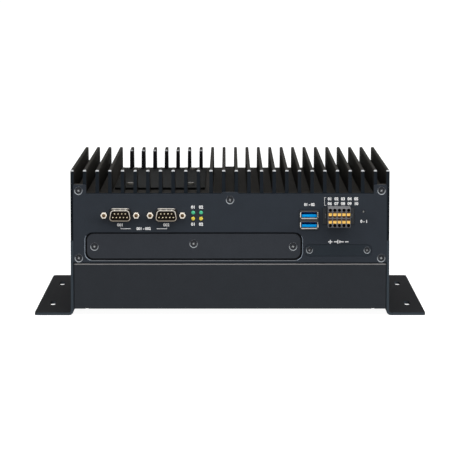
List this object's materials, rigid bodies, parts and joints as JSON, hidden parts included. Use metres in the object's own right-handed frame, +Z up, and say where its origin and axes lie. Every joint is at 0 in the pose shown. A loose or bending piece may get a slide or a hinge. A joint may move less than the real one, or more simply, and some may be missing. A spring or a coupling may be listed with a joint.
{
  "type": "fanless industrial computer",
  "caption": "Low finned box with ports, covers and a pull-off terminal plug on its front, standing on two slotted wall brackets; dark metal with a milled clearing in the fins.",
  "frame": {"origin": "centre of the four bracket slots, in the plane that the bracket flanges stand on", "axes": "+Z up, front with the serial ports faces -Y, +X to the right seen from the front"},
  "size_m": [0.3036, 0.2673, 0.113],
  "materials": {
    "black_anodised": "black anodised extrusion, fine draw lines along the fins",
    "hatch_grey": "smooth dark grey finish",
    "charcoal_paint": "fine-textured charcoal powder coat",
    "cover_paint": "fine-textured charcoal powder coat",
    "housing_paint": "fine-textured charcoal powder coat",
    "zinc_steel": "zinc-plated sheet",
    "bracket_black": "black powder coat",
    "black_screw": "blackened steel",
    "bright_screw": "nickel-plated steel",
    "nickel": "bright nickel plate, slightly warm",
    "cell_steel": "plain steel can",
    "gold_pin": "gold flash",
    "black_plastic": "moulded, semi-matte",
    "green_lens": "tinted translucent lens",
    "yellow_lens": "tinted translucent lens",
    "blue_plastic": "bright blue moulding",
    "grey_plastic": "moulded grey polyamide",
    "orange_plastic": "moulded orange polyamide",
    "board_green": "solder-resist coated laminate",
    "chip_black": "moulded chip package",
    "pad_grey": "soft thermal pad",
    "plain_aluminium": "milled",
    "button_metal": "turned stainless steel"
  },
  "bodies": {
    "computer": {"battery_cover": "cover_paint", "battery_cover_screws": "black_screw", "bay_cover": "cover_paint", "bay_cover_screws": "black_screw", "board_screws": "bright_screw", "board_standoffs": "nickel", "bracket_screws": "black_screw", "cell_holder": "black_plastic", "coin_cell": "cell_steel", "data_port_shell": "nickel", "data_port_tongues": "blue_plastic", "drive_tray": "zinc_steel", "front_panel": "charcoal_paint", "green_lamps": "green_lens", "hatch_plate": "hatch_grey", "hatch_screws": "bright_screw", "header_latches": "nickel", "heat_sink": "black_anodised", "heat_spreader": "plain_aluminium", "jackscrews": "nickel", "lamp_holder": "black_plastic", "left_bracket": "bracket_black", "lower_housing": "housing_paint", "main_board": "board_green", "memory_module": "board_green", "memory_socket": "black_plastic", "network_jacks": "nickel", "panel_screws": "black_screw", "power_inlet": "black_plastic", "power_switch": "black_plastic", "processor": "chip_black", "rear_panel": "charcoal_paint", "reset_switch": "black_plastic", "right_bracket": "bracket_black", "riser_board": "board_green", "riser_slot": "black_plastic", "serial_insulators": "black_plastic", "serial_pins": "gold_pin", "serial_shell_left": "nickel", "serial_shell_right": "nickel", "storage_drive": "cell_steel", "terminal_header": "black_plastic", "terminal_plug": "grey_plastic", "thermal_pad": "pad_grey", "upper_chassis": "zinc_steel", "video_port": "black_plastic", "yellow_lamps": "yellow_lens"},
    "button_1": {"release_button_1": "orange_plastic"},
    "button_2": {"release_button_2": "orange_plastic"},
    "button_3": {"release_button_3": "orange_plastic"},
    "button_4": {"release_button_4": "orange_plastic"},
    "button_5": {"release_button_5": "orange_plastic"},
    "button_6": {"release_button_6": "orange_plastic"},
    "button_7": {"release_button_7": "orange_plastic"},
    "button_8": {"release_button_8": "orange_plastic"},
    "button_9": {"release_button_9": "orange_plastic"},
    "button_10": {"release_button_10": "orange_plastic"},
    "reset": {"reset_plunger": "grey_plastic"},
    "power": {"power_button": "button_metal"}
  },
  "joints": [
    {"name": "release_button_1_press", "type": "slide", "parent": "computer", "child": "button_1", "axis": [0, 1, 0], "range_m": [0, 0.0015], "stiffness_N_per_m": 800, "springref_m": -0.001},
    {"name": "release_button_2_press", "type": "slide", "parent": "computer", "child": "button_2", "axis": [0, 1, 0], "range_m": [0, 0.0015], "stiffness_N_per_m": 800, "springref_m": -0.001},
    {"name": "release_button_3_press", "type": "slide", "parent": "computer", "child": "button_3", "axis": [0, 1, 0], "range_m": [0, 0.0015], "stiffness_N_per_m": 800, "springref_m": -0.001},
    {"name": "release_button_4_press", "type": "slide", "parent": "computer", "child": "button_4", "axis": [0, 1, 0], "range_m": [0, 0.0015], "stiffness_N_per_m": 800, "springref_m": -0.001},
    {"name": "release_button_5_press", "type": "slide", "parent": "computer", "child": "button_5", "axis": [0, 1, 0], "range_m": [0, 0.0015], "stiffness_N_per_m": 800, "springref_m": -0.001},
    {"name": "release_button_6_press", "type": "slide", "parent": "computer", "child": "button_6", "axis": [0, 1, 0], "range_m": [0, 0.0015], "stiffness_N_per_m": 800, "springref_m": -0.001},
    {"name": "release_button_7_press", "type": "slide", "parent": "computer", "child": "button_7", "axis": [0, 1, 0], "range_m": [0, 0.0015], "stiffness_N_per_m": 800, "springref_m": -0.001},
    {"name": "release_button_8_press", "type": "slide", "parent": "computer", "child": "button_8", "axis": [0, 1, 0], "range_m": [0, 0.0015], "stiffness_N_per_m": 800, "springref_m": -0.001},
    {"name": "release_button_9_press", "type": "slide", "parent": "computer", "child": "button_9", "axis": [0, 1, 0], "range_m": [0, 0.0015], "stiffness_N_per_m": 800, "springref_m": -0.001},
    {"name": "release_button_10_press", "type": "slide", "parent": "computer", "child": "button_10", "axis": [0, 1, 0], "range_m": [0, 0.0015], "stiffness_N_per_m": 800, "springref_m": -0.001},
    {"name": "reset_plunger_press", "type": "slide", "parent": "computer", "child": "reset", "axis": [0, 1, 0], "range_m": [0, 0.0003], "stiffness_N_per_m": 2000, "springref_m": -0.0003},
    {"name": "power_button_press", "type": "slide", "parent": "computer", "child": "power", "axis": [0, -1, 0], "range_m": [0, 0.0012], "stiffness_N_per_m": 600, "springref_m": -0.001}
  ]
}
